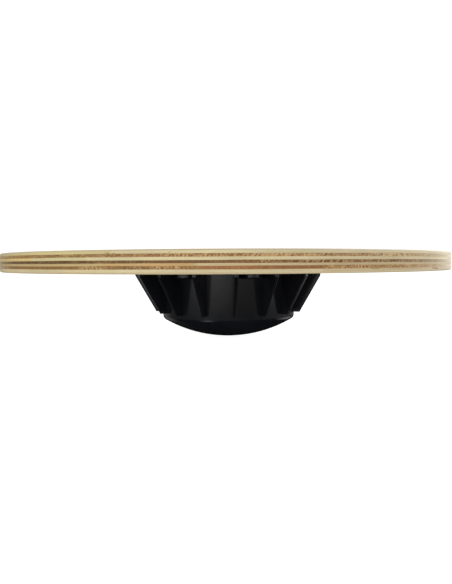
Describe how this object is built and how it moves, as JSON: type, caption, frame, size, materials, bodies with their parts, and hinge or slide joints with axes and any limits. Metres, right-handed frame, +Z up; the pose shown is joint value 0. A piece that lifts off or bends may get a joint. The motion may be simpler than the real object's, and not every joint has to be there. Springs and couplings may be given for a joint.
{
  "type": "balance board",
  "caption": "Round plywood balance board on a domed black plastic hub with radial fins, which rocks and tilts every way underfoot.",
  "frame": {"origin": "on the disc's axis, level with the lowest ring of the dome, where the board stands on the floor", "axes": "+Z up along the disc's axis, +X along the grain of the long plies, -Y is the front"},
  "size_m": [0.3999, 0.4, 0.078],
  "materials": {
    "face_veneer": "clear satin lacquer, rotary-cut figure",
    "long_grain_ply": "sanded veneer seen along its grain",
    "cross_grain_ply": "sanded veneer seen on its end grain",
    "hub_plastic": "moulded, smooth semi-gloss black",
    "screw_steel": "bright zinc plate"
  },
  "bodies": {
    "root": {"top_face_veneer": "face_veneer", "long_ply_top": "long_grain_ply", "cross_ply_upper": "cross_grain_ply", "long_ply_upper": "long_grain_ply", "cross_ply_middle": "cross_grain_ply", "long_ply_lower": "long_grain_ply", "cross_ply_lower": "cross_grain_ply", "long_ply_bottom": "long_grain_ply", "bottom_face_veneer": "face_veneer", "hub": "hub_plastic", "screws": "screw_steel"}
  },
  "joints": []
}
